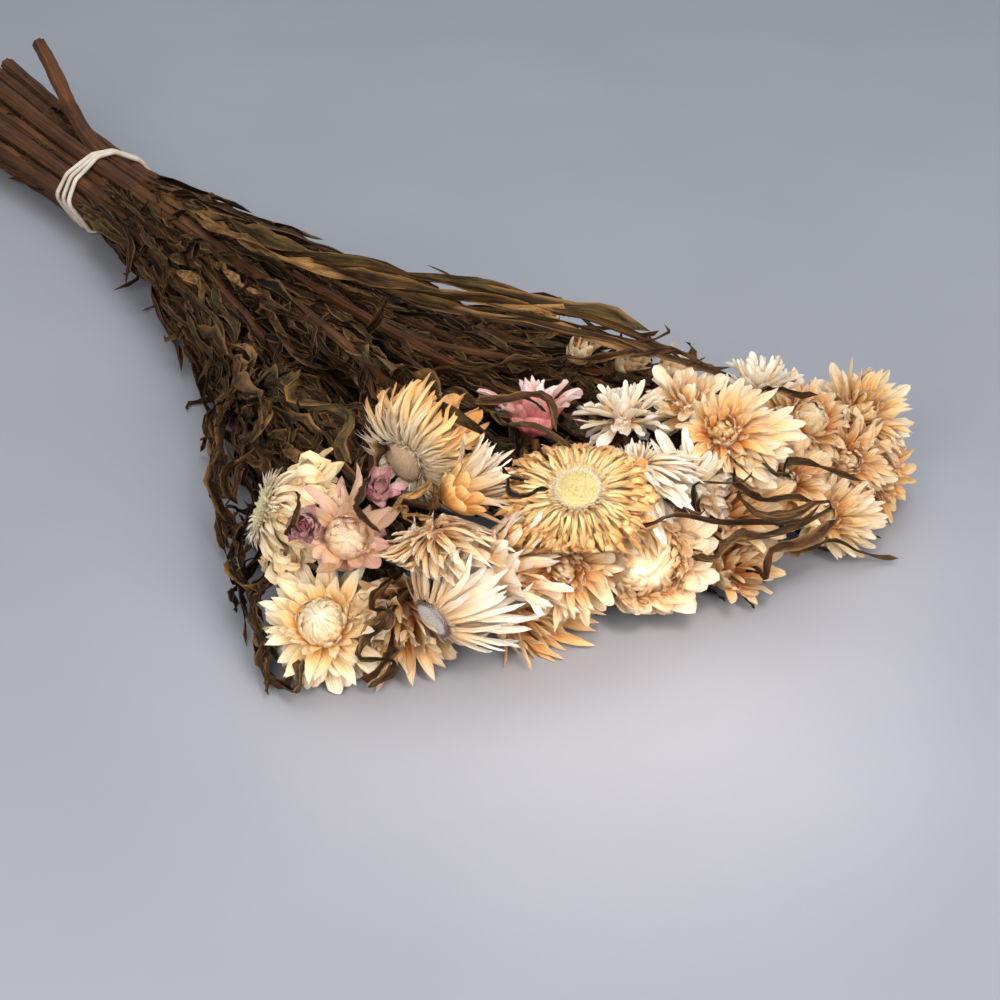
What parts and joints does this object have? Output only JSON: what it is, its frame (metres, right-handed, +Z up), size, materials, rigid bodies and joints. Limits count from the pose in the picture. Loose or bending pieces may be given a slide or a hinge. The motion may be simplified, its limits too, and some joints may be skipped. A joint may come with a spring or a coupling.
{
  "type": "bunch of dried strawflowers",
  "caption": "Flat tied bunch of dried papery flowers lying on its side: leafy stems fan out from an elastic band to open and half-open blooms and buds, with bare cut ends behind the band.",
  "frame": {"origin": "on the surface the bunch lies on, under the middle of its bounding box", "axes": "+X across the fan, -Y towards the blooms and +Y towards the cut stem ends, +Z up from the surface"},
  "size_m": [0.2602, 0.5632, 0.0782],
  "materials": {
    "cream_bracts": "dry papery bracts, pale yellow cream with deeper bases and whitish tips",
    "ivory_bracts": "dry papery bracts, ivory white with straw-coloured bases",
    "peach_bracts": "dry papery bracts, peach with orange bases and pale tips",
    "orange_bracts": "dry papery bracts, light orange, amber at the rim",
    "pink_bracts": "dry papery bracts, faded pink with pale tips and mauve edges",
    "florets": "dense fuzzy disc of dried florets, straw to grey brown",
    "foliage": "dry ribbed stems and shrivelled ribbon leaves, dark olive brown with tan edges",
    "elastic": "smooth cream-white elastic"
  },
  "bodies": {
    "root": {"elastic_band": "elastic", "disc_02": "florets", "disc_04": "florets", "disc_06": "florets", "disc_07": "florets", "bloom_01": "cream_bracts", "bloom_02": "cream_bracts", "bloom_03": "pink_bracts", "bloom_04": "cream_bracts", "bloom_05": "cream_bracts", "bloom_06": "orange_bracts", "bloom_07": "ivory_bracts", "bloom_08": "ivory_bracts", "bloom_09": "cream_bracts", "bloom_10": "ivory_bracts", "bloom_11": "peach_bracts", "bloom_12": "ivory_bracts", "bloom_13": "ivory_bracts", "bloom_14": "cream_bracts", "bloom_15": "ivory_bracts", "bloom_16": "peach_bracts", "bloom_17": "peach_bracts", "bloom_18": "ivory_bracts", "bloom_19": "peach_bracts", "bloom_20": "peach_bracts", "bloom_21": "orange_bracts", "bloom_22": "peach_bracts", "bloom_23": "cream_bracts", "bloom_24": "peach_bracts", "bloom_25": "orange_bracts", "bloom_26": "cream_bracts", "bloom_27": "pink_bracts", "bloom_28": "cream_bracts", "bud_1": "cream_bracts", "bud_2": "cream_bracts", "bud_3": "cream_bracts", "bud_4": "pink_bracts", "bud_5": "pink_bracts", "leafy_stem_01": "foliage", "leafy_stem_02": "foliage", "leafy_stem_03": "foliage", "leafy_stem_04": "foliage", "leafy_stem_05": "foliage", "leafy_stem_06": "foliage", "leafy_stem_07": "foliage", "leafy_stem_08": "foliage", "leafy_stem_09": "foliage", "leafy_stem_10": "foliage", "leafy_stem_11": "foliage", "leafy_stem_12": "foliage", "leafy_stem_13": "foliage", "leafy_stem_14": "foliage", "leafy_stem_15": "foliage", "leafy_stem_16": "foliage", "leafy_stem_17": "foliage", "leafy_stem_18": "foliage", "leafy_stem_19": "foliage", "leafy_stem_20": "foliage", "leafy_stem_21": "foliage", "leafy_stem_22": "foliage"}
  },
  "joints": []
}
